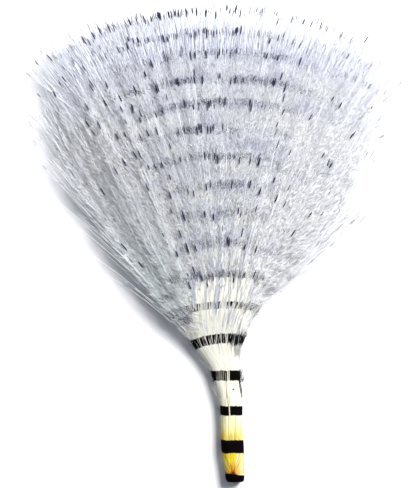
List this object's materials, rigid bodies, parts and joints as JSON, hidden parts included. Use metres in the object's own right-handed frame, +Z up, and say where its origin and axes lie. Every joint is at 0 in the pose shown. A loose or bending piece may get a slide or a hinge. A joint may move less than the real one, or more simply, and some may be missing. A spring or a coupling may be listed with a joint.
{
  "type": "marabou feather",
  "caption": "Fluffy barred marabou feather lying flat: a narrow gathered butt that opens into a wide fan of fine down with dark bars.",
  "frame": {"origin": "bottom centre of the feather's bounding box, on the surface it lies on", "axes": "+Z up from the surface, +Y from the cut butt towards the tips of the fan, +X to the right seen from above with the tips away from the viewer"},
  "size_m": [0.105, 0.1196, 0.0114],
  "materials": {
    "down": "matt fluffy down, creamy white at the butt and pale blue-grey above, with dark bars"
  },
  "bodies": {
    "root": {"feather": "down"}
  },
  "joints": []
}
